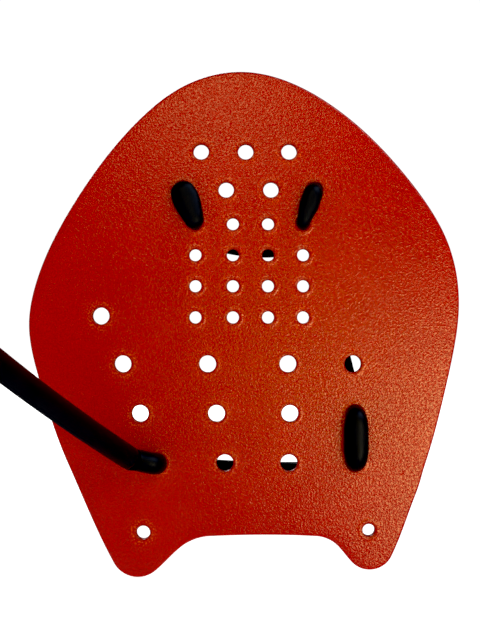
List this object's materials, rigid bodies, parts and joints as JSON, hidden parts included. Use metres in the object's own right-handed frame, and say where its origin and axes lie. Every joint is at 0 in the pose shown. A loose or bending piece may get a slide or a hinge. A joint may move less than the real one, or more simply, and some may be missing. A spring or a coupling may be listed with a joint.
{
  "type": "swimming hand paddle",
  "caption": "Perforated moulded plastic swimming paddle for the left hand, with a finger loop and a wrist band of black rubber tubing stitched through its holes.",
  "frame": {"origin": "centre of the hang hole, the middle hole of the fingertip row, on the blade's water face", "axes": "+Z from the wrist towards the fingertips, -Y out of the water face, +X from the thumb side towards the little finger"},
  "size_m": [0.1829, 0.1278, 0.21],
  "materials": {
    "blade_plastic": "orange-red, moulded with a fine leather grain, satin",
    "strap_rubber": "black latex tubing, satin"
  },
  "bodies": {
    "blade": {"blade": "blade_plastic", "finger_strap_thumb_stitch": "strap_rubber", "finger_strap_little_stitch": "strap_rubber", "wrist_strap_little_stitch": "strap_rubber"},
    "finger_loop": {"finger_loop": "strap_rubber"},
    "wrist_band": {"wrist_band": "strap_rubber"},
    "loose_root": {"wrist_strap_loose_root": "strap_rubber"},
    "loose_end": {"wrist_strap_loose_end": "strap_rubber"}
  },
  "joints": [
    {"name": "finger_loop_swing", "type": "hinge", "parent": "blade", "child": "finger_loop", "pos_m": [0.0015, 0.00715, -0.03], "axis": [1, 0, 0], "range_deg": [-45, 70], "stiffness_Nm_per_rad": 0.01},
    {"name": "wrist_band_swing", "type": "hinge", "parent": "blade", "child": "wrist_band", "pos_m": [0.0045, 0.0079, -0.1292], "axis": [1, 0, 0], "range_deg": [-60, 70], "stiffness_Nm_per_rad": 0.02},
    {"name": "loose_end_swing", "type": "hinge", "parent": "blade", "child": "loose_root", "pos_m": [-0.0364, 0, -0.1292], "axis": [0, 1, 0], "range_deg": [-40, 40], "stiffness_Nm_per_rad": 0.03},
    {"name": "loose_end_lift", "type": "hinge", "parent": "loose_root", "child": "loose_end", "pos_m": [-0.0465, -0.007, -0.12675], "axis": [0.711, 0, 0.7032], "range_deg": [-35, 40], "stiffness_Nm_per_rad": 0.03}
  ]
}
